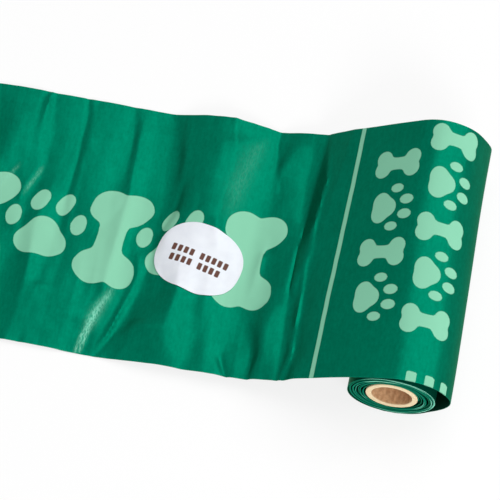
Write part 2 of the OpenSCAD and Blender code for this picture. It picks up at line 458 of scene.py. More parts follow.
def grain_group() -> Tree:
    """Return the shared grain group: fine unevenness and slow patches, built once.

    Returns:
        A shader node group that takes a vector, a fine scale and a patch scale, and puts out
        a height and a patch value, both about 0 to 1.
    """
    name = "fine_grain"
    if name in bpy.data.node_groups:
        return bpy.data.node_groups[name]
    tree = bpy.data.node_groups.new(name, "ShaderNodeTree")
    face = tree.interface
    face.new_socket("Vector", in_out="INPUT", socket_type="NodeSocketVector")
    for title, value in (("Fine Scale", 900.0), ("Patch Scale", 60.0)):
        face.new_socket(title, in_out="INPUT", socket_type="NodeSocketFloat").default_value = value
    for title in ("Height", "Patches"):
        face.new_socket(title, in_out="OUTPUT", socket_type="NodeSocketFloat")
    graph = Graph(tree)
    source = graph.add("NodeGroupInput").outputs
    fine = graph.noise(source["Vector"], source["Fine Scale"], 3.0)
    slow = graph.noise(source["Vector"], source["Patch Scale"], 2.0)
    graph.add("NodeGroupOutput", {"Height": fine, "Patches": slow})
    return tree


class Finish:
    """What every finish shares: a new material with a Principled shader, grain and relief."""

    @staticmethod
    def start(name: str) -> tuple[Material, Graph, Node, Socket]:
        """Make an empty material.

        Args:
            name: The material's name.

        Returns:
            The material, its graph, its Principled node and Object coordinates.
        """
        material = bpy.data.materials.new(name)
        material.use_nodes = True
        material.node_tree.nodes.clear()
        graph = Graph(material.node_tree)
        shader = graph.add("ShaderNodeBsdfPrincipled")
        graph.add("ShaderNodeOutputMaterial", {"Surface": shader.outputs["BSDF"]})
        return material, graph, shader, graph.add("ShaderNodeTexCoord").outputs["Object"]

    @staticmethod
    def grain(graph: Graph, vector: Any, scales: Pair) -> Any:
        """Place the shared grain group with its fine and patch scales and return its outputs."""
        inputs = {"Vector": vector, "Fine Scale": scales[0], "Patch Scale": scales[1]}
        return graph.add("ShaderNodeGroup", node_tree=grain_group(), inputs=inputs).outputs

    @staticmethod
    def relief(graph: Graph, shader: Node, height: Socket, relief: Pair) -> None:
        """Give a shader fine relief from a height, with a strength and a depth in mm."""
        inputs = {"Strength": relief[0], "Distance": relief[1] * MM, "Height": height}
        graph.feed(shader.inputs["Normal"], graph.add("ShaderNodeBump", inputs).outputs["Normal"])


@dataclass(frozen=True)
class FilmFinish:
    """Thin glossy emerald film with pale mint print and lighter green cut edges, partly painted light, that
    turn to a painted pale mint highlight where the edge light is high.

    A pair of gloss or roughness values is for the bare film and for the print.
    """

    name: str = "emerald_film"
    green: Colour = (0.0, 0.15, 0.085, 1.0)
    deep: Colour = (0.0, 0.12, 0.067, 1.0)
    mint: Colour = (0.24, 0.59, 0.4, 1.0)
    cut: Colour = (0.0, 0.27, 0.17, 1.0)
    # Pale mint of the painted highlight on the film's edges.
    rim: Colour = (0.36, 0.86, 0.66, 1.0)
    sheen: Colour = (0.0, 0.6, 0.38, 1.0)
    # Pale green of the painted highlight along the strip's creases.
    painted_highlight: Colour = (0.09, 0.42, 0.28, 1.0)
    grain: Pair = (1500.0, 120.0)
    crinkles: Triple = (2300.0, 480.0, 900.0)
    glint_specks: Triple = (5200.0, 1300.0, 5200.0)
    streaks: Triple = (90.0, 2200.0, 90.0)
    crinkle_share: float = 0.5
    grain_share: float = 0.5
    patch_share: float = 0.25
    uneven_span: Pair = (0.47, 0.78)
    cut_span: Pair = (0.0, 0.5)
    rim_span: Pair = (0.6, 1.0)
    glint_speck_span: Four = (0.4, 0.6, 0.25, 1.0)
    # How much of the painted crease highlight goes into the base colour.
    highlight_share: float = 0.7
    tinted_gloss: Pair = (0.52, 0.0)
    roughness: Pair = (0.39, 0.5)
    ior: float = 1.1
    gloss_roughness: float = 0.16
    print_blur: float = 0.07
    streak_relief: float = 0.6
    grain_relief: float = 0.4
    relief: Pair = (0.35, 0.02)

    def base(self, graph: Graph, place: Socket, grain: Any, ink: Socket) -> Socket:
        """Return the colour of the uneven film, its print and its edges.

        Args:
            graph: The material's short calls.
            place: Object coordinates.
            grain: The grain group's outputs.
            ink: 1 on the print and 0 beside it.

        Returns:
            The colour.
        """
        uneven = graph.math(
            "MULTIPLY_ADD",
            graph.drawn_noise(place, self.crinkles),
            self.crinkle_share,
            graph.times(grain["Height"], self.grain_share),
        )
        uneven = graph.math("MULTIPLY_ADD", grain["Patches"], self.patch_share, uneven)
        film = graph.blend(graph.span(uneven, *self.uneven_span), self.deep, self.green)
        edge = graph.attribute(EDGE_ATTRIBUTE)
        # As the edge light rises, edges take a lighter cut green, partly the cut film's own colour and
        # partly painted light, then a painted pale mint highlight.
        film = graph.blend(graph.span(edge, *self.cut_span), graph.blend(ink, film, self.mint), self.cut)
        return graph.blend(graph.span(edge, *self.rim_span), film, self.rim)

    def material(self) -> Material:
        """Build the film's material.

        Returns:
            The material.
        """
        material, graph, shader, place = Finish.start(self.name)
        grain = Finish.grain(graph, place, self.grain)
        ink = graph.span(graph.attribute(PRINT_ATTRIBUTE), self.print_blur, -self.print_blur)
        base = self.base(graph, place, grain, ink)
        # Along the strip's creases the base colour gets a speckled painted highlight, and the coat adds
        # gloss there.
        specks = graph.span(graph.drawn_noise(place, self.glint_specks), *self.glint_speck_span)
        shine = graph.times(graph.attribute(SHINE_ATTRIBUTE), specks)
        # The pigment colours most of what the film reflects, and hardly any of it leaves white.
        graph.fill(
            shader,
            {
                "Base Color": graph.blend(graph.times(shine, self.highlight_share), base, self.painted_highlight),
                "Metallic": graph.span(ink, 0.0, 1.0, *self.tinted_gloss),
                "Roughness": graph.span(ink, 0.0, 1.0, *self.roughness),
                "IOR": self.ior,
                "Specular Tint": self.sheen,
                "Coat Weight": shine,
                "Coat Roughness": self.gloss_roughness,
            },
        )
        streaks = graph.times(graph.drawn_noise(place, self.streaks), self.streak_relief)
        height = graph.plus(streaks, graph.times(grain["Height"], self.grain_relief))
        Finish.relief(graph, shader, height, self.relief)
        return material


@dataclass(frozen=True)
class ShadedReverseFinish:
    """The film's dull reverse side, coloured a much darker green than the film as painted shade for the
    hollow inside of the loose turn.
    """

    name: str = "film_reverse"
    # Much darker than the film's green: painted shade.
    green: Colour = (0.0, 0.045, 0.025, 1.0)
    grain: Pair = (1500.0, 120.0)
    roughness: Pair = (0.6, 0.7)
    gloss: float = 0.1

    def material(self) -> Material:
        """Build the reverse side's material.

        Returns:
            The material.
        """
        material, graph, shader, place = Finish.start(self.name)
        patches = Finish.grain(graph, place, self.grain)["Patches"]
        rough = graph.span(patches, *PATCH_SPAN, *self.roughness)
        graph.fill(shader, {"Base Color": self.green, "Roughness": rough, "Specular IOR Level": self.gloss})
        return material


@dataclass(frozen=True)
class BoardFinish:
    """Brown rolled cardboard with a pale cut end; the end's place is in mm."""

    name: str = "brown_board"
    brown: Colour = (0.54, 0.3, 0.15, 1.0)
    tan: Colour = (0.78, 0.5, 0.28, 1.0)
    cut: Colour = (0.93, 0.75, 0.48, 1.0)
    grain: Pair = (2600.0, 700.0)
    fibres: Triple = (1100.0, 700.0, 1100.0)
    fibre_detail: Pair = (4.0, 0.65)
    fibre_span: Pair = (0.38, 0.62)
    cut_span: Four = (0.2, 0.5, 0.75, 1.0)
    end: Pair = (29.7, 29.9)
    roughness: float = 0.86
    gloss: float = 0.25
    grain_relief: float = 0.5
    relief: Pair = (0.6, 0.08)

    def material(self) -> Material:
        """Build the cardboard's material.

        Returns:
            The material.
        """
        material, graph, shader, place = Finish.start(self.name)
        grain = Finish.grain(graph, place, self.grain)
        fibres = graph.drawn_noise(place, self.fibres, *self.fibre_detail)
        body = graph.blend(graph.span(fibres, *self.fibre_span), self.brown, self.tan)
        along = graph.math("ABSOLUTE", graph.add("ShaderNodeSeparateXYZ", {"Vector": place}).outputs["Y"])
        at_end = graph.span(along, self.end[0] * MM, self.end[1] * MM)
        pale = graph.times(at_end, graph.span(fibres, *self.cut_span))
        colour = graph.blend(pale, body, self.cut)
        values = {"Base Color": colour, "Roughness": self.roughness, "Specular IOR Level": self.gloss}
        graph.fill(shader, values)
        height = graph.plus(fibres, graph.times(grain["Height"], self.grain_relief))
        Finish.relief(graph, shader, height, self.relief)
        return material


@dataclass(frozen=True)
class PaperFinish:
    """Matt white sticker paper with small brown printed bars."""

    name: str = "sticker_paper"
    white: Colour = (0.80, 0.83, 0.88, 1.0)
    shade: Colour = (0.76, 0.79, 0.85, 1.0)
    brown: Colour = (0.10, 0.035, 0.022, 1.0)
    grain: Pair = (2200.0, 500.0)
    roughness: float = 0.62
    gloss: float = 0.3
    print_blur: float = 0.06
    relief: Pair = (0.25, 0.02)

    def material(self) -> Material:
        """Build the paper's material.

        Returns:
            The material.
        """
        material, graph, shader, place = Finish.start(self.name)
        grain = Finish.grain(graph, place, self.grain)
        ink = graph.span(graph.attribute(PRINT_ATTRIBUTE), self.print_blur, -self.print_blur)
        paper = graph.blend(graph.span(grain["Patches"], *PATCH_SPAN), self.shade, self.white)
        colour = graph.blend(ink, paper, self.brown)
        values = {"Base Color": colour, "Roughness": self.roughness, "Specular IOR Level": self.gloss}
        graph.fill(shader, values)
        Finish.relief(graph, shader, grain["Height"], self.relief)
        return material


def place_piece(piece: Piece, node: str) -> Piece:
    """Let a finished piece stand for its CAD node on the part's only body.

    Args:
        piece: The finished object, at the origin.
        node: The CAD node that it replaces.

    Returns:
        The piece.
    """
    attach(piece, ROOT)
    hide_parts(node)
    LOG.info("%s: %d faces, stands for %s", piece.name, len(piece.data.polygons), node)
    return piece


def grid_mesh(name: str, points: Array, uv: Array, attributes: dict[str, Array]) -> bpy.types.Mesh:
    """Make a mesh of quads over a grid of points.

    Args:
        name: The mesh's name.
        points: Positions in metres, shaped (columns, rows, 3).
        uv: Flat places of the points, shaped (columns, rows, 2).
        attributes: Values of each point, shaped (columns, rows), by name.

    Returns:
        The mesh, with its UV map and attributes.
    """
    columns, rows = points.shape[:2]
    index = np.arange(columns * rows).reshape(columns, rows)
    here, ahead = index[:-1], index[1:]
    corners = [here[:, :-1], ahead[:, :-1], ahead[:, 1:], here[:, 1:]]
    faces = np.stack(corners, axis=-1).reshape(-1, 4)
    mesh = bpy.data.meshes.new(name)
    mesh.from_pydata(points.reshape(-1, 3).tolist(), [], faces.tolist())
    layer = mesh.uv_layers.new(name=UV_NAME)
    layer.data.foreach_set("uv", uv.reshape(-1, 2)[faces.ravel()].ravel())
    for title, values in attributes.items():
        made = mesh.attributes.new(title, "FLOAT", "POINT")
        made.data.foreach_set("value", values.ravel().astype(np.float32))
    mesh.polygons.foreach_set("use_smooth", [True] * len(faces))
    mesh.update()
    return mesh


def applied(piece: Piece, sharp_degrees: float = 40.0) -> Piece:
    """Turn a piece with modifiers into a plain mesh and remove them.

    Args:
        piece: The object with live modifiers.
        sharp_degrees: Edges that fold more than this stay sharp.

    Returns:
        The same object, with its evaluated mesh.
    """
    depsgraph = bpy.context.evaluated_depsgraph_get()
    depsgraph.update()
    evaluated = piece.evaluated_get(depsgraph)
    mesh = bpy.data.meshes.new_from_object(evaluated, depsgraph=depsgraph)
    piece.modifiers.clear()
    piece.data = mesh
    mesh.name = piece.name
    mesh.set_sharp_from_angle(angle=math.radians(sharp_degrees))
    return piece


def new_object(name: str, data: bpy.types.ID) -> Piece:
    """Link a new object with its mesh, lamp or camera at the origin.

    Args:
        name: The object's name.
        data: Its mesh, lamp or camera.

    Returns:
        The object.
    """
    made = bpy.data.objects.new(name, data)
    bpy.context.scene.collection.objects.link(made)
    return made


def thicken(piece: Piece, thickness: float) -> bpy.types.Modifier:
    """Give a sheet a thickness in mm, half of it on each side.

    Args:
        piece: The sheet.
        thickness: Its thickness, in mm.

    Returns:
        The modifier.
    """
    wall = piece.modifiers.new("thickness", "SOLIDIFY")
    wall.thickness = thickness * MM
    wall.offset = 0.0
    return wall


def weld(piece: Piece, distance: float) -> None:
    """Join the points of a piece that are nearer than a distance in mm."""
    piece.modifiers.new("close", "WELD").merge_threshold = distance * MM


@dataclass
class FilmShape:
    """The web's form, in mm: its wound turns, the loose turn and the ridged strip."""

    roll_w: float = 60.0
    cad_turns: int = 7
    real_turns: int = 9
    cad_film: float = 0.28
    film: float = 0.14
    gap_over: float = 0.1
    gap_beside: float = 0.26
    core_r: float = 5.5
    core_fit: float = 0.1
    side_bulge: Pair = (3.1, 1.7)
    top_bulge: Pair = (0.5, 2.7)
    leave_angle: float = 115.0
    leave_step: float = 5.0
    side_angle: float = 18.0
    side_rise: float = 55.0
    side_fall: float = 95.0
    top_angle: float = 90.0
    top_half: float = 70.0
    strip_reach: float = 106.0
    foot_reach: float = 24.5
    foot_h: Pair = (5.4, 3.6)
    landing_reach: float = 38.5
    bend: float = 1.0
    foot_ridge: Triple = (38.0, 2.8, 8.0)
    main_reach: Pair = (50.0, 47.0)
    main_h: Pair = (2.7, 3.9)
    main_half: float = 13.5
    swell: Triple = (75.0, 1.3, 10.0)
    low_fold_reaches: tuple[float, ...] = (65.0, 75.5, 86.0, 96.5)
    low_fold_h: Pair = (0.55, 0.5)
    low_fold_fade: float = 0.6
    low_fold_sides: Pair = (3.5, 7.0)
    end_lift: Pair = (1.2, 0.6)
    end_len: float = 14.0
    under_angles: Pair = (16.0, 8.0)
    under_rise: float = 1.5
    fold_start: Pair = (-6.0, -16.0)
    table_soft: float = 0.6
    folds: list[Fold] = field(default_factory=list)
    glints: list[Fold] = field(default_factory=list)
    rumples: list[Rumple] = field(default_factory=list)

    @property
    def inner_r(self) -> float:
        """Radius of the middle of the first turn."""
        return self.core_r + self.core_fit + self.cad_film / 2

    @property
    def bottom_r(self) -> float:
        """Radius of the middle of the outermost turn under the roll."""
        return self.inner_r + (self.cad_turns - 0.25) * (self.cad_film + self.gap_over)

    @property
    def table_z(self) -> float:
        """Height of the table."""
        return -(self.bottom_r + self.cad_film / 2)

    def depth(self, angle: Array) -> Array:
        """Return how thick the tight turns are together at an angle in degrees."""
        gap = mix(self.gap_over, self.gap_beside, (1 + np.cos(2 * np.radians(angle))) / 2)
        return self.cad_turns * (self.cad_film + gap)

    def bulge(self, past: Array, far: Array) -> Array:
        """Return how far the loose turn stands out at an angle past the roll's side.

        Args:
            past: Degrees past the side of the roll.
            far: 0 at the near edge of the film and 1 at the far edge.

        Returns:
            Distances in mm.
        """
        swing = np.where(past < self.side_angle, self.side_rise, self.side_fall)
        side = mix(*self.side_bulge, ease(far)) * bump((past - self.side_angle) / swing)
        top = mix(*self.top_bulge, ease(far)) * bump((past - self.top_angle) / self.top_half)
        return side + top

    def turn_point(self, past: Array, far: Array) -> tuple[Array, Array]:
        """Return x and z of the outer turns.

        Args:
            past: Degrees past the side of the roll where the loose turn starts; the outermost
                tight turn is from -360 to 0.
            far: 0 at the near end of the roll and 1 at the far end.

        Returns:
            The places in mm.
        """
        share = 1 + past / 360 / np.where(past < 0, self.real_turns, self.cad_turns)
        radius = self.inner_r + share * self.depth(past) + self.bulge(past, far)
        x = radius * np.cos(np.radians(past))
        z = radius * np.sin(np.radians(past))
        level = -(self.bottom_r + (self.cad_film - self.film) / 2)
        flat = smooth_step(*self.under_angles, np.abs(past + 90))
        return x, np.maximum(mix(z, level, flat * (np.abs(z - level) < self.under_rise)), level)

    def foot_at(self, far: Array) -> Array:
        """Return the height of the foot's crease above the table."""
        return mix(*self.foot_h, ease(far))

    def low_folds(self, x: Array) -> Array:
        """Return the low folds' height at x as a share: steep on the left, gentle on the right.

        Args:
            x: Places along the part, in mm.

        Returns:
            Shares of the first fold's height.
        """
        total = np.zeros_like(x)
        for count, reach in enumerate(self.low_fold_reaches):
            past = x + reach
            share = bump(past / np.where(past < 0, *self.low_fold_sides))
            total = np.maximum(total, share * self.low_fold_fade**count)
        return total

    def lying_z(self, x: Array, far: Array) -> Array:
        """Return the height of the strip where it lies past the foot.

        Args:
            x: Places along the part, in mm.
            far: 0 at the near edge of the film and 1 at the far edge.

        Returns:
            Heights in mm.
        """
        runout = self.foot_at(far) * (x + self.landing_reach) / (self.landing_reach - self.foot_reach)
        share = ease(far)
        reach, high, half = self.foot_ridge
        ridges = high * bump((x + reach) / half) * (1 - share)
        ridges += mix(*self.main_h, share) * bump((x + mix(*self.main_reach, far)) / self.main_half)
        ridges += mix(*self.low_fold_h, share) * self.low_folds(x)
        reach, high, half = self.swell
        ridges += high * bump((x + reach) / half) * (1 - share)
        lift = np.maximum(0, self.end_len - self.strip_reach - x) / self.end_len
        ridges += mix(*self.end_lift, share) * (1 - np.cos(lift * math.pi / 2))
        rest = smooth_max(runout, ridges, self.bend) - self.bend / 12
        return self.table_z + self.cad_film / 2 + np.maximum(0, rest)

    def smooth_z(self, x: Array, far: Array) -> Array:
        """Return the height of the middle of the strip without its creases.

        Args:
            x: Places along the part, in mm.
            far: 0 at the near edge of the film and 1 at the far edge.

        Returns:
            Heights in mm.
        """
        top_x, top_z = self.turn_point(np.full_like(far, self.leave_angle), far)
        back_x, back_z = self.turn_point(np.full_like(far, self.leave_angle - self.leave_step), far)
        slope = (top_z - back_z) / (top_x - back_x)
        run = top_x + self.foot_reach
        foot_z = self.table_z + self.cad_film / 2 + self.foot_at(far)
        droop = (top_z - foot_z - slope * run) / run**2
        fall = top_z - slope * (top_x - x) - droop * (top_x - x) ** 2
        return smooth_max(fall, self.lying_z(x, far), self.bend / 2)

    def folded_z(self, x: Array, y: Array) -> Array:
        """Return the height of the middle of the strip at x and y, with its folds.

        Args:
            x: Places along the part, in mm.
            y: Places along the core's axis, in mm.

        Returns:
            Heights in mm.
        """
        far = y / self.roll_w + 0.5
        extra = sum((f.at(x, y) for f in self.folds), np.zeros(np.broadcast(x, y).shape))
        extra = extra + sum((r.at(x, y) for r in self.rumples), 0.0)
        away = smooth_step(*self.fold_start, x)
        lowest = np.full_like(extra, self.table_z + self.film / 2)
        return smooth_max(self.smooth_z(x, far) + extra * away, lowest, self.table_soft)


@dataclass
class BagFilm:
    """The outer part of the web as one thin sheet: last tight turn, loose turn and strip."""

    shape: FilmShape
    finish: Material
    shaded_reverse: Material
    marks: list[PrintMark]
    turn_step: float = 3.0
    strip_columns: int = 260
    rows: int = 97
    hem: float = 0.15
    nib: float = 0.5
    nib_pitch: float = 2.5
    tear_share: float = 0.97
    loose_start: Pair = (-40.0, 10.0)
    loose_end: float = 85.0
    lit_angles: Pair = (-200.0, -240.0)
    dim_edge: float = 0.2
    loose_rumple: Rumple = Rumple(seed=21, height=0.09, wave=7.0, stretch=5.0)

    def across(self) -> Array:
        """Return the rows' places across the web: evenly spread, with one more beside each edge.

        Returns:
            Places in mm, from the near edge to the far one.
        """
        half = self.shape.roll_w / 2
        even = np.linspace(-half, half, self.rows)
        return np.concatenate([even[:1], [-half + self.hem], even[1:-1], [half - self.hem], even[-1:]])

    def tear(self, y: Array) -> Array:
        """Return how far the nibs of the torn perforation stand back at the strip's free end."""
        return self.nib * np.abs((y / self.nib_pitch) % 1.0 - 0.5) * 2

    def points(self) -> tuple[Array, Array, Array]:
        """Return the sheet's grid.

        Returns:
            Positions in mm, shaped (columns, rows, 3), the run along the web from where the
            strip leaves the roll, shaped (columns, rows), and the winding angle of each column.
        """
        shape = self.shape
        y = self.across()
        far = y / shape.roll_w + 0.5
        angles = np.arange(-360.0, shape.leave_angle, self.turn_step)
        a, f = np.meshgrid(angles, far, indexing="ij")
        x, z = shape.turn_point(a, f)
        uneven = self.loose_rumple.at(a / 6.0, np.broadcast_to(y, a.shape))
        loose = smooth_step(*self.loose_start, a) * smooth_step(shape.leave_angle, self.loose_end, a)
        swell = uneven * loose
        length = np.hypot(x, z)
        x, z = x * (1 + swell / length), z * (1 + swell / length)
        z = np.maximum(z, shape.table_z + shape.film / 2)
        leave_x, _ = shape.turn_point(np.full_like(far, shape.leave_angle), far)
        share = np.linspace(0, 1, self.strip_columns)[:, None]
        torn = self.tear(y) * smooth_step(self.tear_share, 1.0, share)
        sx = mix(leave_x[None, :], -shape.strip_reach, share) + torn
        sy = np.broadcast_to(y, sx.shape)
        wound = np.stack([x, np.broadcast_to(y, x.shape), z], axis=-1)
        strip = np.stack([sx, sy, shape.folded_z(sx, sy)], axis=-1)
        grid = np.concatenate([wound, strip])
        steps = np.linalg.norm(np.diff(grid, axis=0), axis=-1)
        run = np.concatenate([np.zeros((1, len(y))), np.cumsum(steps, axis=0)])
        run = run[len(angles)][None, :] - run
        column_angle = np.concatenate([angles, np.full(self.strip_columns, shape.leave_angle)])
        return grid, run, column_angle

    def edge_light(self, grid: Array, angle: Array) -> Array:
        """Return where the film's folded edge catches the light, from 0 to 1.

        Args:
            grid: Positions of the sheet's points, in mm.
            angle: The winding angle of each column, in degrees.

        Returns:
            The light at each point.
        """
        y = grid[..., 1]
        inset = self.shape.roll_w / 2 - np.abs(y)
        at_edge = smooth_step(self.hem, 0.0, inset)
        lit = smooth_step(*self.lit_angles, angle)
        return at_edge * mix(self.dim_edge, 1.0, lit[:, None])

    def crease_shine(self, grid: Array, angle: Array) -> Array:
        """Return where the strip's creases get a painted highlight and more coat gloss, from 0 to 1.

        Args:
            grid: Positions of the sheet's points, in mm.
            angle: The winding angle of each column, in degrees.

        Returns:
            The shine at each point.
        """
        x, y = grid[..., 0], grid[..., 1]
        total = sum((glint.at(x, y) for glint in self.shape.glints), np.zeros(x.shape))
        return np.clip(total, 0.0, 1.0) * (angle >= self.shape.leave_angle)[:, None]

    def flat_size(self, run: Array) -> Pair:
        """Return the sheet's flat width and length in metres."""
        middle = run[:, run.shape[1] // 2]
        return self.shape.roll_w * MM, float(middle[0] - middle[-1]) * MM

    def build(self) -> Piece:
        """Returns:
            The finished piece.
        """
        grid, run, angle = self.points()
        y = grid[..., 1]
        print_distance = np.full(run.shape, NO_PRINT)
        for mark in self.marks:
            print_distance = np.minimum(print_distance, mark.distance(run, y))
        attributes = {
            PRINT_ATTRIBUTE: print_distance,
            EDGE_ATTRIBUTE: self.edge_light(grid, angle),
            SHINE_ATTRIBUTE: self.crease_shine(grid, angle),
        }
        mesh = grid_mesh("bag_film_sheet", grid * MM, np.stack([run, y], axis=-1) * UV_SCALE, attributes)
        mesh.materials.append(self.finish)
        # The sheet's underside takes the darker reverse green, painted shade.
        mesh.materials.append(self.shaded_reverse)
        mesh.flip_normals()
        piece = new_object("bag_film_sheet", mesh)
        thicken(piece, self.shape.film).material_offset = 1
        applied(piece)
        place_piece(piece, "bag_film")
        self.flat_size(run)
        return piece


@dataclass
class WoundTurns:
    """The tight turns inside, wound by a rule: a long spiral whose turns lie in uneven bunches."""

    shape: FilmShape
    finish: Material
    steps_per_turn: int = 72
    rows: int = 25
    bunching: float = 0.75
    bunches: float = 2.9
    bunch_noise: Pair = (0.7, 9.0)
    layers: float = 0.19
    kink: float = 0.55
    kink_angle: float = -12.0
    kink_half: float = 42.0
    wander: float = 0.8
    wander_pitch: float = 0.16
    wander_noise: Pair = (2.2, 3.0)
    wander_middle: float = 0.62
    wobble: float = 0.5
    wobble_noise: Pair = (2.4, 2.0)
    edge_span: Pair = (0.992, 1.0)
    outermost_span: Pair = (0.975, 0.985)
    body_span: Four = (0.42, 0.54, 0.0, 0.5)
    # Where turn edges get a painted pale mint highlight.
    highlight_span: Pair = (0.55, 0.63)
    seed: float = 4.7

    def values(self) -> dict[str, tuple[str, Any]]:
        """Return the kind of socket and the value of each of the tree's inputs.

        Returns:
            Each input's kind of socket and its value, by the input's title.
        """
        shape = self.shape
        inner_turns = shape.real_turns - 1
        share = inner_turns / shape.real_turns
        numbers = {
            "Turns": float(inner_turns),
            "Inner Radius": shape.inner_r * MM,
            "Depth Over": float(shape.depth(np.float64(90.0))) * share * MM,
            "Depth Beside": float(shape.depth(np.float64(0.0))) * share * MM,
            "Half Width": shape.roll_w / 2 * MM,
            "Bunching": self.bunching,
            "Bunches": self.bunches,
            "Kink": self.kink * MM,
            "Kink Angle": math.radians(self.kink_angle),
            "Kink Half": math.radians(self.kink_half),
            "Edge Wander": self.wander * MM,
            "Wobble": self.wobble * MM,
            "Seed": self.seed,
        }
        return {
            "Columns": ("NodeSocketInt", inner_turns * self.steps_per_turn + 1),
            "Rows": ("NodeSocketInt", self.rows),
            "Film": ("NodeSocketMaterial", self.finish),
            **{title: ("NodeSocketFloat", value) for title, value in numbers.items()},
        }

    def radius(self, graph: Graph, source: Any, wound: Socket, angle: Socket) -> Socket:
        """Return each point's distance from the axis.

        Args:
            graph: The tree's short calls.
            source: The tree's inputs.
            wound: How much of the spiral is wound up to the point, from 0 to 1.
            angle: How far it is wound there, in radians.

        Returns:
            The distance in metres.
        """
        cosine, sine = graph.math("COSINE", angle), graph.math("SINE", angle)

        # Turns lie close in some places and leave lens-shaped gaps in others.
        scale, swing = self.bunch_noise
        phase = graph.times(graph.noise(graph.combine(cosine, sine, source["Seed"]), scale, 1.0), swing)
        rate = graph.times(source["Bunches"], 2 * math.pi)
        wave = graph.math("SINE", graph.plus(graph.times(wound, rate), phase))
        fade = graph.math("SINE", graph.times(wound, math.pi))
        shift = graph.math("DIVIDE", graph.times(wave, source["Bunching"], fade), rate)
        packed = graph.plus(wound, shift)

        beside = graph.math("MULTIPLY_ADD", graph.math("COSINE", graph.times(angle, 2.0)), 0.5, 0.5)
        spare = graph.math("SUBTRACT", source["Depth Beside"], source["Depth Over"])
        depth = graph.plus(source["Depth Over"], graph.times(beside, spare))
        radius = graph.plus(source["Inner Radius"], graph.times(packed, depth))

        # The bunches are folded to a soft corner beside the core.
        turned = graph.math("SUBTRACT", angle, source["Kink Angle"])
        level = graph.math("ABSOLUTE", graph.math("COSINE", turned))
        away = graph.math("ARCCOSINE", graph.times(level, ALMOST_ONE))
        share = graph.math("DIVIDE", away, source["Kink Half"])
        corner = graph.math("MAXIMUM", graph.math("SUBTRACT", 1.0, share), 0.0)
        radius = graph.plus(radius, graph.times(corner, fade, source["Kink"]))
        uneven = graph.noise(graph.combine(cosine, sine, graph.times(wound, 2.0)), *self.wobble_noise)
        uneven = graph.times(graph.math("SUBTRACT", uneven, 0.5), fade)
        return graph.plus(radius, graph.times(uneven, source["Wobble"]))

    def edge(
        self, graph: Graph, source: Any, wound: Socket, angle: Socket, across: Socket
    ) -> tuple[Socket, Socket]:
        """Return half the width of each turn and its edge light.

        Each turn's edge stands a little further out or in than the next.

        Args:
            graph: The tree's short calls.
            source: The tree's inputs.
            wound: How much of the spiral is wound up to the point, from 0 to 1.
            angle: How far it is wound there, in radians.
            across: The point's place across the film, from -1 to 1.

        Returns:
            The half width in metres, and the edge light from 0 to 1.
        """
        place = graph.combine(graph.times(angle, self.wander_pitch), wound, source["Seed"])
        loose = graph.noise(place, *self.wander_noise)
        wander = graph.times(graph.math("SUBTRACT", loose, self.wander_middle), source["Edge Wander"])
        at_end = graph.span(graph.math("ABSOLUTE", across), *self.edge_span)
        outermost = graph.span(wound, *self.outermost_span)
        body = graph.span(loose, *self.body_span)
        # Some turn edges, and the outermost turn's edge, get a painted pale mint highlight.
        painted_highlight = graph.math("MULTIPLY_ADD", graph.span(loose, *self.highlight_span), 0.5, body)
        glint = graph.times(at_end, graph.math("MAXIMUM", painted_highlight, outermost))
        return graph.plus(source["Half Width"], wander), glint

    def tree(self) -> tuple[Tree, dict[str, Any]]:
        """Build the Geometry Nodes tree.

        Returns:
            The tree, and each input socket's value by the socket's identifier.
        """
        tree = bpy.data.node_groups.new("wound_turns", "GeometryNodeTree")
        face = tree.interface
        given = {
            face.new_socket(title, in_out="INPUT", socket_type=kind).identifier: value
            for title, (kind, value) in self.values().items()
        }
        face.new_socket("Geometry", in_out="OUTPUT", socket_type="NodeSocketGeometry")
        graph = Graph(tree)
        source = graph.add("NodeGroupInput").outputs
        counts = {"Vertices X": source["Columns"], "Vertices Y": source["Rows"]}
        grid = graph.add("GeometryNodeMeshGrid", {"Size X": 1.0, "Size Y": 1.0, **counts})
        position = graph.add("GeometryNodeInputPosition").outputs[0]
        axes = graph.add("ShaderNodeSeparateXYZ", {"Vector": position}).outputs
        wound = graph.plus(axes["X"], 0.5)
        across = graph.math("SINE", graph.times(axes["Y"], math.pi))
        angle = graph.times(wound, source["Turns"], 2 * math.pi)
        radius = self.radius(graph, source, wound, angle)
        reach, glint = self.edge(graph, source, wound, angle, across)

        # The values are stored on the flat grid, where the fields still read its own places.
        made = grid.outputs["Mesh"]
        for title, value in ((PRINT_ATTRIBUTE, NO_PRINT), (EDGE_ATTRIBUTE, glint), (SHINE_ATTRIBUTE, 0.0)):
            inputs = {"Geometry": made, "Name": title, "Value": value}
            kind = "GeometryNodeStoreNamedAttribute"
            made = graph.add(kind, inputs, data_type="FLOAT", domain="POINT").outputs["Geometry"]
        place = graph.combine(
            graph.times(radius, graph.math("COSINE", angle)),
            graph.times(across, reach),
            graph.times(radius, graph.math("SINE", angle)),
        )
        steps = (
            ("GeometryNodeSetPosition", {"Position": place}),
            ("GeometryNodeSetShadeSmooth", {}),
            ("GeometryNodeRealizeInstances", {}),
            ("GeometryNodeSetMaterial", {"Material": source["Film"]}),
        )
        for kind, inputs in steps:
            made = graph.add(kind, {"Geometry": made, **inputs}).outputs["Geometry"]
        graph.add("NodeGroupOutput", {"Geometry": made})
        return tree, given

    def flat_size(self) -> Pair:
        """Return the wound film's flat width and length in metres.

        Returns:
            The width and the length.
        """
        shape = self.shape
        turns = shape.real_turns - 1
        mean = shape.inner_r + float(shape.depth(np.float64(45.0))) / 2
        return shape.roll_w * MM, 2 * math.pi * mean * turns * MM

    def build(self) -> Piece:
        """Returns:
            The finished piece.
        """
        tree, given = self.tree()
        piece = new_object("wound_turns", bpy.data.meshes.new("wound_turns"))
        winding = piece.modifiers.new("winding", "NODES")
        winding.node_group = tree
        for identifier, value in given.items():
            winding[identifier] = value
        thicken(piece, self.layers)
        applied(piece)
        place_piece(piece, "bag_film")
        self.flat_size()
        return piece


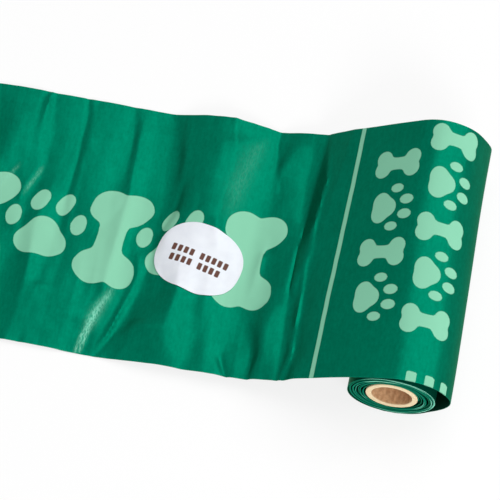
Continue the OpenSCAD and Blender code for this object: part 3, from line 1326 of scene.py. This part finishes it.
@dataclass
class CardboardCore:
    """The small cardboard tube: rolled walls with softly broken cut edges."""

    finish: Material
    outer_r: float = 5.5
    wall: float = 1.2
    length: float = 60.0
    edge: float = 0.16
    edge_share: float = 0.3
    skin: Pair = (0.05, 0.01)
    segments: int = 96
    inner_rows: int = 40
    outer_rows: int = 12
    rim_rows: int = 4
    rough: Rumple = Rumple(seed=9, height=0.018, wave=1.6, count=20)
    rough_pitch: float = 0.4
    end_rough: float = 1.4
    seam_pitch: float = 0.55
    seam_depth: float = 0.05
    seam_share: float = 0.004
    sharp: float = 50.0

    def profile(self) -> Array:
        """Return the wall's section as r and y, in mm, round the wall once.

        Returns:
            The section's points, shaped (points, 2).
        """
        outer, inner, half, e = self.outer_r, self.outer_r - self.wall, self.length / 2, self.edge
        inside = [(inner, y) for y in np.linspace(half - e, -half + e, self.inner_rows)]
        soft = e * self.edge_share
        near = [(inner + soft, -half + soft), (inner + e, -half)]
        rim = [(r, -half) for r in np.linspace(inner + 2 * e, outer - 2 * e, self.rim_rows)]
        near_out = [(outer - e, -half), (outer - soft, -half + soft), (outer, -half + e)]
        outside = [(outer, y) for y in np.linspace(-half + 3 * e, half - 3 * e, self.outer_rows)]
        lower = near + rim + near_out
        upper = [(r, -y) for r, y in reversed(lower)]
        return np.array(inside + lower + outside + upper)

    def build(self) -> Piece:
        """Make the tube and dress it.

        Returns:
            The finished piece.
        """
        profile = self.profile()
        outer, half = self.outer_r, self.length / 2
        turn = np.linspace(0, 2 * math.pi, self.segments, endpoint=False)
        ring, row = np.meshgrid(np.append(turn, 2 * math.pi), np.arange(len(profile) + 1), indexing="ij")
        section = np.vstack([profile, profile[:1]])
        r, y = section[row, 0], section[row, 1]
        spiral = np.sin(ring + y * self.seam_pitch)
        groove = self.seam_depth * np.exp(-((spiral - 1) / self.seam_share) ** 2)
        wobble = self.rough.at(np.cos(ring) * outer, np.sin(ring) * outer + y * self.rough_pitch)
        bore = groove * (r < outer - self.wall / 2)
        radius = np.minimum(r + wobble * (r < outer - self.skin[0]) + bore, outer)
        end = wobble * self.end_rough * (np.abs(y) > half - self.skin[1])
        along = np.clip(y + end, -half, half)
        points = np.stack([radius * np.cos(ring), along, radius * np.sin(ring)], axis=-1)
        points[-1], points[:, -1] = points[0], points[:, 0]
        flat = np.stack([ring, y], axis=-1) * UV_SCALE
        piece = new_object("cardboard_tube", grid_mesh("cardboard_tube", points * MM, flat, {}))
        piece.data.materials.append(self.finish)
        weld(piece, 0.0005)
        applied(piece, self.sharp)
        return place_piece(piece, "cardboard_core")


@dataclass
class PaperSticker:
    """The sticker: thin paper that follows the film, with two rows of small brown bars."""

    shape: FilmShape
    finish: Material
    width: float = 19.0
    height: float = 15.6
    paper: float = 0.12
    reach: float = 46.2
    inset: float = 25.4
    skew: float = -12.0
    power: float = 2.4
    area_share: float = 0.84
    lift: float = 0.1
    curl: float = 0.12
    curl_power: int = 6
    curl_mix: Pair = (0.6, 0.4)
    curl_turn: float = 0.7
    segments: int = 120
    rings: int = 46
    ring_power: float = 0.9
    row_top: float = 0.75
    row_drop: float = 2.35
    row_shift: float = 0.35
    word_gap: float = 0.75
    bar_h: float = 1.6
    bar_w: float = 0.92
    bar_step: float = 1.36
    words: tuple[tuple[int, ...], ...] = ((4, 5), (4, 4))

    def bars(self) -> list[PrintMark]:
        """Return the brown bars of both rows, in the sticker's own flat frame.

        Returns:
            The bars.
        """
        made = []
        for row, groups in enumerate(self.words):
            count = sum(groups) + self.word_gap * (len(groups) - 1)
            place = -count * self.bar_step / 2 + self.bar_step / 2 - self.row_shift * row
            level = self.row_top - row * self.row_drop
            for group in groups:
                for _ in range(group):
                    made.append(PrintMark(Motif.BAR, place, level, self.bar_h, 0.0, self.bar_w))
                    place += self.bar_step
                place += self.word_gap * self.bar_step
        return made

    def rounded(self, wave: Array, size: float) -> Array:
        """Return a place on the outline of the rounded oval from a cosine or a sine."""
        return size / 2 * np.sign(wave) * np.abs(wave) ** (2 / self.power)

    def build(self) -> Piece:
        """Make the sticker and dress it.

        Returns:
            The finished piece.
        """
        turn = np.linspace(0, 2 * math.pi, self.segments + 1)
        share = np.linspace(0, 1, self.rings + 1) ** self.ring_power
        t, s = np.meshgrid(turn, share, indexing="ij")
        u, v = s * self.rounded(np.cos(t), self.width), s * self.rounded(np.sin(t), self.height)
        angle = math.radians(self.skew)
        x = u * math.cos(angle) - v * math.sin(angle) - self.reach
        y = u * math.sin(angle) + v * math.cos(angle) + self.inset - self.shape.roll_w / 2
        base = self.shape.folded_z(x, y) + self.shape.film / 2
        even, waved = self.curl_mix
        curl = self.curl * s**self.curl_power * (even + waved * np.sin(t * 2 + self.curl_turn))
        points = np.stack([x, y, base + self.lift + curl], axis=-1) * MM
        ink = np.full(u.shape, NO_PRINT)
        for mark in self.bars():
            ink = np.minimum(ink, mark.distance(u, v))
        flat = np.stack([u, v], axis=-1) * UV_SCALE
        mesh = grid_mesh("paper_sticker", points, flat, {PRINT_ATTRIBUTE: ink})
        mesh.materials.append(self.finish)
        mesh.flip_normals()
        piece = new_object("paper_sticker", mesh)
        weld(piece, 0.002)
        thicken(piece, self.paper)
        applied(piece)
        place_piece(piece, "sticker")
        return piece


@dataclass(frozen=True)
class PhotoView:
    """The photograph's camera, in degrees and mm; it sees from 10 mm to 20 m away."""

    azimuth: float = 10.586
    elevation: float = 64.722
    roll: float = 0.717
    focal_px: float = 3251.2
    frame_px: float = 500.0
    sensor: float = 36.0
    distance: float = 700.0
    aim: Pair = (-36.145, 1.168)
    clip: Pair = (0.01, 20.0)

    def build(self, table_z: float) -> None:
        """Make the camera, which looks at a point on the table.

        Args:
            table_z: The table's height, in mm.
        """
        a, e, r = (math.radians(d) for d in (self.azimuth, self.elevation, self.roll))
        back = Vector((math.sin(a) * math.cos(e), -math.cos(a) * math.cos(e), math.sin(e)))
        right = Vector((math.cos(a), math.sin(a), 0.0))
        up = back.cross(right)
        turned_right = math.cos(r) * right + math.sin(r) * up
        turned_up = -math.sin(r) * right + math.cos(r) * up
        eye = (Vector((*self.aim, table_z)) + back * self.distance) * MM
        data = bpy.data.cameras.new("photo_view")
        data.sensor_width = self.sensor
        data.lens = self.sensor * self.focal_px / self.frame_px
        data.clip_start, data.clip_end = self.clip
        camera = new_object("photo_view", data)
        basis = Matrix((turned_right, turned_up, back)).transposed().to_4x4()
        camera.matrix_world = Matrix.Translation(eye) @ basis
        bpy.context.scene.camera = camera


@dataclass(frozen=True)
class Lamp:
    """A soft square lamp: where it stands, how large it is and how strongly it shines."""

    name: str
    place: Triple
    size: float
    power: float


@dataclass
class Studio:
    """Pale table, white surroundings and soft lamps, in metres but for the table's height."""

    table_z: float
    floor_half: float = 1.5
    floor_colour: Colour = (0.93, 0.93, 0.93, 1.0)
    floor_rough: float = 0.9
    floor_lift: float = 0.8
    sky: float = 0.26
    lit_place: Triple = (-0.04, 0.0, 0.0)
    lamps: tuple[Lamp, ...] = (
        Lamp("key_lamp", (0.26, 0.46, 0.95), 1.1, 9.2),
        Lamp("fill_lamp", (0.34, -0.58, 0.46), 0.3, 3.4),
        Lamp("side_lamp", (0.78, 0.44, 0.55), 0.16, 0.8),
    )

    def seen_share(self, graph: Graph) -> Socket:
        """Return 1 for rays that show the background itself.

        Args:
            graph: The short calls of the material or the world.

        Returns:
            The share.
        """
        path = graph.add("ShaderNodeLightPath").outputs
        seen = graph.math("MAXIMUM", path["Is Camera Ray"], path["Is Glossy Ray"])
        return graph.math("MAXIMUM", seen, path["Is Transmission Ray"])

    def world(self) -> None:
        """Make the white surroundings, which light the part more gently than they look."""
        world = bpy.data.worlds.new("white_surroundings")
        world.use_nodes = True
        world.node_tree.nodes.clear()
        graph = Graph(world.node_tree)
        strength = graph.math("MULTIPLY_ADD", self.seen_share(graph), 1.0 - self.sky, self.sky)
        glow = graph.add("ShaderNodeBackground", {"Color": (1.0, 1.0, 1.0, 1.0), "Strength": strength})
        graph.add("ShaderNodeOutputWorld", {"Surface": glow.outputs[0]})
        bpy.context.scene.world = world

    def floor(self) -> None:
        """Make the table that the part lies on."""
        half = self.floor_half
        corners = [(-half, -half), (half, -half), (half, half), (-half, half)]
        mesh = bpy.data.meshes.new("table_top")
        mesh.from_pydata([(x, y, self.table_z * MM) for x, y in corners], [], [(0, 1, 2, 3)])
        material, graph, shader, _ = Finish.start("pale_table")
        values = {"Base Color": self.floor_colour, "Roughness": self.floor_rough, "Specular IOR Level": 0.0}
        graph.fill(shader, values)
        white = graph.add("ShaderNodeEmission").outputs[0]
        share = graph.times(self.seen_share(graph), self.floor_lift)
        seen = graph.row("ShaderNodeMixShader", share, shader.outputs["BSDF"], white)
        output = next(node for node in material.node_tree.nodes if node.type == "OUTPUT_MATERIAL")
        graph.feed(output.inputs["Surface"], seen)
        mesh.materials.append(material)
        new_object("table_top", mesh)

    def build(self) -> None:
        """Make the surroundings, the table and the lamps."""
        self.world()
        self.floor()
        for lamp in self.lamps:
            data = bpy.data.lights.new(lamp.name, "AREA")
            data.shape, data.size, data.energy = "SQUARE", lamp.size, lamp.power
            made = new_object(lamp.name, data)
            made.location = lamp.place
            made.rotation_mode = "QUATERNION"
            aim = Vector(self.lit_place) - Vector(lamp.place)
            made.rotation_quaternion = aim.to_track_quat("-Z", "Y")
        bpy.context.scene.view_settings.view_transform = "Standard"


def fold(*knots: tuple[float, float, float, float], lean: float = 0.0, crest: float = 1.5) -> Fold:
    """Return a fold through places given as x, y, half width and height, in mm."""
    return Fold(tuple(Knot(*values) for values in knots), lean, crest)


def row_folds(places: tuple[int, ...], rows: FoldRows, crest: float) -> list[Fold]:
    """Return folds that share their places across the strip.

    Args:
        places: The knots' y, in mm.
        rows: For each fold the x, the half width and the height of its knots, in mm.
        crest: How sharp the folds' crests are.

    Returns:
        The folds.
    """
    made = []
    for xs, halves, heights in rows:
        made.append(fold(*zip(xs, places, halves, heights), crest=crest))
    return made


def film_folds() -> list[Fold]:
    """Return the strip's folds: single ones, fine ones and broad swells.

    Returns:
        The folds.
    """
    single = [
        fold((-90.3, 31, 2.3, 0.24), (-91.6, 16, 3.3, 0.5), (-92.1, 8, 1.5, 0.03)),
        fold((-88.9, 12.5, 0.5, -0.03), (-89.9, 10.3, 0.5, 0.06), (-93.0, 5.9, 0.5, 0.18),
             (-94.0, 3.5, 0.5, 0.0)),
        fold((-85.7, 31, 0.5, 0.25), (-86.4, 27.8, 0.7, 0.7), (-86.4, 18.4, 1.4, 0.19),
             (-85.3, 12.2, 1.5, 0.21), (-85.2, 7, 1.0, -0.12)),
        fold((-83.4, 12.5, 0.5, -0.05), (-85.4, 11, 0.7, 0.14), (-87.2, 5.9, 0.5, 0.2),
             (-87.4, 3, 0.5, 0.31)),
        fold((-85.6, 2, 1.0, -0.06), (-85.6, -6, 2.0, -0.35), (-88.3, -18, 2.0, -0.35),
             (-90.9, -31, 1.7, -0.21)),
        fold((-78.2, 31, 0.5, -0.34), (-77.2, 26, 0.6, -0.55), (-77.1, 14, 0.5, -0.51),
             (-77.7, 4, 1.2, -0.68), (-76.9, -4, 1.3, -0.28), (-76.1, -10, 0.6, 0.04)),
        fold((-78.9, -16, 1.8, 0.28), (-80.1, -21, 1.7, 0.14), (-79.9, -31, 0.8, -0.18)),
        fold((-67.6, 31, 1.4, -0.41), (-66.1, 22, 1.0, -0.85), (-66.0, 13, 2.0, -0.45),
             (-66.4, 6, 2.1, 0.24), (-68.9, -2, 1.5, -0.2), lean=0.35),
        fold((-65.0, 31, 1.5, -0.18), (-65.3, 22, 1.1, 0.39), (-64.8, 13, 0.9, 0.27), (-63.8, 6, 1.3, 0.22),
             (-66.9, -2, 1.8, -0.02), lean=-0.35),
        fold((-64.2, -13, 1.0, 0.0), (-65.6, -16.5, 1.9, 0.31), (-67.1, -21, 1.6, 0.56),
             (-67.3, -25, 1.5, 0.32), (-68.3, -31, 0.9, 0.14), lean=0.3),
        fold((-63.0, -14, 0.8, -0.03), (-64.8, -18, 1.0, -0.16), (-65.5, -22, 1.6, -0.09),
             (-65.6, -26, 1.0, -0.55), (-66.3, -31, 1.1, -0.58)),
        fold((-59.4, -5, 1.1, 0.2), (-58.4, -10, 0.8, 0.36), (-59.1, -14, 1.0, 0.57),
             (-60.8, -20, 0.6, 0.83), (-62.1, -25, 0.5, 0.76), (-65.0, -31, 0.5, 0.18)),
        fold((-56.4, -6, 1.1, -0.14), (-57.7, -13, 2.0, -0.61), (-58.5, -20, 3.3, -0.86),
             (-61.4, -25, 1.0, -0.73), (-64.6, -31, 0.9, -0.67)),
        fold((-59.9, 31, 1.6, -0.21), (-56.6, 25, 1.8, -0.19), (-55.5, 19, 1.9, -0.82),
             (-55.3, 13, 2.4, -0.91), (-55.5, 6, 2.1, -0.65), (-55.9, -1, 1.5, 0.21)),
        fold((-51.7, 16, 1.3, 0.03), (-53.3, 12, 1.1, -0.47), (-53.6, 7, 1.2, -0.75),
             (-55.6, 1, 0.8, -0.35), (-56.6, -4, 1.2, -0.09)),
        fold((-37.1, 31, 1.3, 0.13), (-39.8, 27, 2.1, 0.18), (-43.0, 24, 3.3, 0.64),
             (-43.6, 15.8, 2.7, 0.5), (-44.3, 5.6, 3.2, 1.39), (-42.8, -2, 2.3, 0.33),
             (-42.5, -8, 2.0, 0.0), lean=0.35, crest=1.4),
        fold((-34.8, 31, 1.5, -0.78), (-35.0, 27, 1.0, -0.59), (-34.2, 22, 1.4, -0.62),
             (-32.6, 16, 2.0, -0.68), (-32.2, 10, 1.5, -0.02), crest=1.2),
        fold((-29.9, 31, 2.4, -0.1), (-33.4, 20, 1.1, 0.56), (-32.3, 10, 1.5, 0.26), (-32.3, 0, 1.8, -0.3),
             lean=-0.2),
        fold((-46.5, -6, 2.0, 0.0), (-46.3, -14, 1.6, -0.15), (-45.1, -27, 1.6, -0.15),
             (-45.6, -31, 1.6, -0.14)),
        fold((-38.3, -22, 1.6, -0.16), (-37.3, -26, 1.0, -0.54), (-35.4, -29.8, 0.5, -0.38),
             (-33.6, -31, 0.8, -0.5)),
        fold((-32.7, -11, 1.1, 0.12), (-32.3, -17, 1.6, -0.22), (-30.7, -24, 1.6, -0.86),
             (-30.6, -31, 1.1, -0.66), crest=1.3),
        fold((-30.2, -12, 1.4, 0.18), (-29.8, -18, 2.0, 0.74), (-28.9, -24, 1.4, 0.68),
             (-30.2, -31, 1.8, 0.67), lean=-0.2),
        fold((-23.9, 31, 1.4, 0.21), (-22.5, 18, 0.7, 0.44), (-23.4, 5, 1.3, 0.86), (-23.3, 1, 2.4, 0.77),
             (-25.0, -8, 2.5, 0.92), (-24.9, -15, 1.2, -0.08), (-23.7, -23, 1.1, -0.54),
             (-24.4, -31, 0.5, -0.27), lean=0.55, crest=1.6),
        fold((-24.1, 31, 1.0, -0.66), (-25.3, 18, 2.3, -0.84), (-25.4, 5, 0.6, -0.81),
             (-25.8, 1, 0.5, -0.54), (-25.7, -8, 0.5, -0.65), (-24.1, -15, 1.7, -0.43),
             (-21.6, -23, 2.0, -0.67), (-23.2, -31, 0.5, -0.83), crest=1.2),
        fold((-23.6, 0, 1.0, 0.13), (-23.2, -6, 0.5, 0.43), (-22.9, -15, 0.5, 0.72),
             (-22.4, -24, 0.7, 0.45), (-23.1, -31, 0.7, 0.19)),
        fold((-18.7, 31, 2.0, 0.37), (-20.7, 12, 2.1, 0.53), (-21.5, -6, 1.8, -0.18),
             (-22.3, -31, 1.0, -0.28)),
    ]
    fine = row_folds((31, 20, 9, -2, -13, -22, -31), FINE_FOLDS, 1.5)
    return single + fine + row_folds((31, 10, -10, -31), BROAD_SWELLS, 1.8)


def film_glints() -> list[Fold]:
    """Return the lines on the strip's creases that get a painted highlight and more coat gloss; their
    heights are shares of 1.

    Returns:
        The lines, as narrow folds.
    """
    return [
        fold((-62.9, -13.0, 0.3, 0.0), (-63.6, -15.4, 0.6, 0.6), (-65.4, -19.7, 0.8, 1.1),
             (-66.3, -23.4, 0.7, 1.2), (-66.9, -26.0, 0.4, 0.6), (-67.0, -29.0, 0.3, 0.0)),
        fold((-66.3, -23.4, 0.2, 0.0), (-67.4, -26.0, 0.25, 1.0), (-67.9, -30.0, 0.2, 1.0)),
        fold((-65.9, -23.4, 0.2, 0.0), (-66.5, -26.0, 0.25, 1.0), (-67.0, -29.6, 0.2, 0.7)),
        fold((-84.0, 12.0, 0.2, 0.0), (-84.4, 11.0, 0.25, 0.5), (-86.2, 6.4, 0.25, 0.6),
             (-87.0, 4.0, 0.2, 0.0)),
        fold((-88.9, 12.0, 0.2, 0.0), (-89.7, 10.3, 0.25, 0.4), (-92.3, 6.2, 0.25, 0.4),
             (-93.2, 4.0, 0.2, 0.0)),
        fold((-37.0, 28.0, 0.5, 0.0), (-39.2, 24.0, 1.4, 0.12), (-41.4, 14.0, 1.6, 0.14),
             (-41.6, 5.0, 1.4, 0.0)),
    ]


def film_marks() -> list[PrintMark]:
    """Return the mint shapes printed on the web.

    Returns:
        The marks.
    """
    marks = [PrintMark(Motif.BAR, -14.7, 0.0, 70.0, 0.0, 1.0)]
    strip = (
        (Motif.BONE, -97.0, 22.0), (Motif.PAW, -82.0, 17.0), (Motif.BONE, -67.0, 22.0),
        (Motif.PAW, -52.5, 17.0), (Motif.BONE, -36.0, 22.0),
    )
    marks += [PrintMark(motif, u, -2.5, size) for motif, u, size in strip]
    rows = ((0.0, (20.0, 9.5, -1.0, -11.5)), (12.5, (26.0, 15.5, 5.0, -5.5, -16.0)))
    for u, places in rows:
        for count, y in enumerate(places):
            motif = Motif.PAW if count % 2 else Motif.BONE
            marks.append(PrintMark(motif, u - 4.0, y, 10.5, 90.0 if motif is Motif.BONE else -90.0))
    marks += [PrintMark(Motif.BAR, u, -29.2, 2.8, 0.0, 2.1) for u in (7.5, 11.5, 15.4)]
    return marks


def main() -> None:
    """Build the part and its studio."""
    logging.basicConfig(level=logging.INFO, format="%(name)s: %(message)s")
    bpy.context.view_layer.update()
    film = FilmFinish().material()
    shape = FilmShape(
        folds=film_folds(),
        glints=film_glints(),
        rumples=[Rumple(seed=3, height=0.07, wave=14.0, stretch=1.8), Rumple(seed=8, height=0.03, wave=5.0)],
    )
    BagFilm(shape, film, ShadedReverseFinish().material(), film_marks()).build()
    WoundTurns(shape, film).build()
    CardboardCore(BoardFinish().material()).build()
    PaperSticker(shape, PaperFinish().material()).build()
    Studio(shape.table_z).build()
    PhotoView().build(shape.table_z)


if __name__ == "__main__":
    main()
